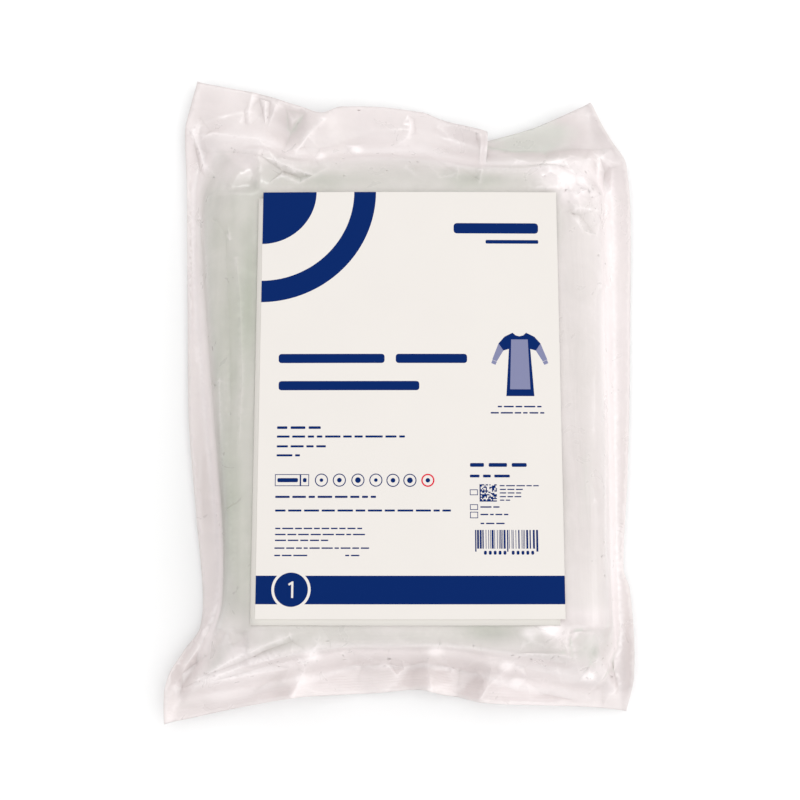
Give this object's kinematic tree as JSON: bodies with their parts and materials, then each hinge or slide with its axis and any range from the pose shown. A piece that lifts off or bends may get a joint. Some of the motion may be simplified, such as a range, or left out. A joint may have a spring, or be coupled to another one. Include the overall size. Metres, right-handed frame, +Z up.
{
  "type": "packaged surgical gown",
  "caption": "Folded and wrapped surgical gown sealed flat in a milky film pouch, with a foot seal, side margins, a lapped header and a card on its front.",
  "frame": {"origin": "on the table under the middle of the pack's box", "axes": "+Z up from the table through the card, +Y from the pouch's foot seal to its header, +X to the card's right"},
  "size_m": [0.2404, 0.3328, 0.045],
  "materials": {
    "film": "milky, semi-gloss",
    "gown_cloth": "matt nonwoven",
    "card": "satin card",
    "card_backing": "matt card"
  },
  "bodies": {
    "root": {"pouch_back": "film", "pouch_front": "film", "gown_bundle": "gown_cloth", "label_card": "card", "label_backing": "card_backing"}
  },
  "joints": []
}
